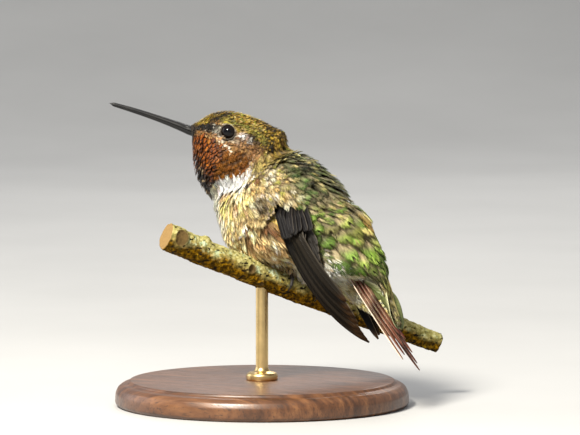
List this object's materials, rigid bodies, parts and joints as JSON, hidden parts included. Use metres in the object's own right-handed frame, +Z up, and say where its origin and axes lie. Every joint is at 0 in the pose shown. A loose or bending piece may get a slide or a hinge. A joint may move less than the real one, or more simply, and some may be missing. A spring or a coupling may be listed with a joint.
{
  "type": "hummingbird",
  "caption": "Adult male ruby-throated hummingbird, perched and fluffed, head turned to its left, as a still life-size model on a cut branch over a round stand.",
  "frame": {"origin": "centre of the underside of the round base, below the rod that holds the branch", "axes": "+Z up; the bird faces -X, its left side is towards -Y and its mid-plane is parallel to XZ"},
  "size_m": [0.0556, 0.0538, 0.0533],
  "materials": {
    "head_feathers": "small close feathers: coppery red scales on the throat, bronze green crown, dark lores",
    "body_feathers": "fluffed contour feathers: buff and cream breast, green and grey back",
    "rump_feathers": "green tipped feathers over grey buff bases",
    "flight_feathers": "smooth dark brown vanes",
    "tail_feathers": "purple brown vanes with pale edges",
    "bill": "black horn, satin",
    "eye": "wet gloss",
    "foot_skin": "scaly black skin, satin",
    "bark": "rough bark with pale and yellow lichen",
    "base_wood": "oiled walnut, satin",
    "rod_brass": "brushed, satin"
  },
  "bodies": {
    "root": {"head": "head_feathers", "neck": "head_feathers", "trunk": "body_feathers", "rump": "rump_feathers", "tail": "tail_feathers", "bill": "bill", "eye_left": "eye", "eye_right": "eye", "wing_left": "body_feathers", "wing_left_feathers": "flight_feathers", "wing_right": "body_feathers", "wing_right_feathers": "flight_feathers", "leg_left": "foot_skin", "leg_right": "foot_skin", "perch": "bark", "stand_base": "base_wood", "stand_rod": "rod_brass"}
  },
  "joints": []
}
